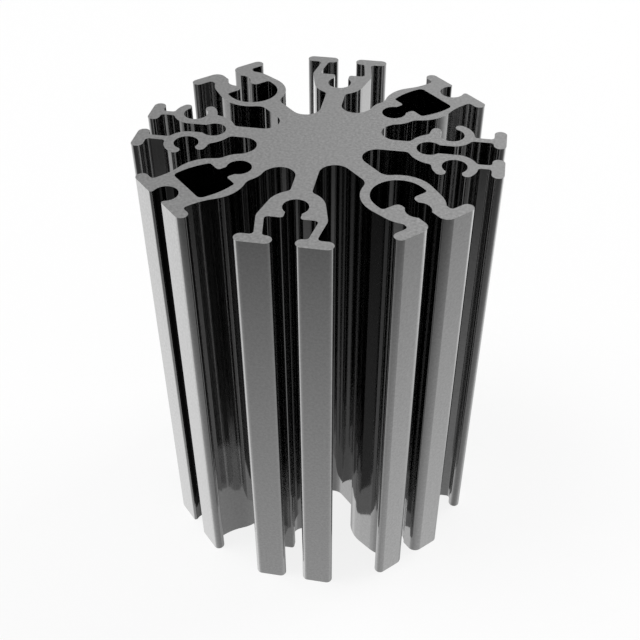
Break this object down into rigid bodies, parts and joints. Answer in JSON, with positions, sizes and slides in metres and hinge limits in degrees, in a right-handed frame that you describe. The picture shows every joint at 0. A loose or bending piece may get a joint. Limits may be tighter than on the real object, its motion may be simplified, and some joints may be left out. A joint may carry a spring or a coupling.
{
  "type": "led heat sink",
  "caption": "Star-shaped extruded aluminium heat sink for LEDs, with arms round a solid core and screw channels along its length.",
  "frame": {"origin": "middle of the lower cut end, on the axis of the extrusion", "axes": "+Z along the extrusion, up; the fork arms lie along +Y and -Y and the hook arms along +X and -X"},
  "size_m": [0.061, 0.061, 0.08],
  "materials": {
    "aluminium": "plain extruded sides with fine lengthwise lines, fine saw-cut grain on the ends"
  },
  "bodies": {
    "root": {"heat_sink": "aluminium"}
  },
  "joints": []
}
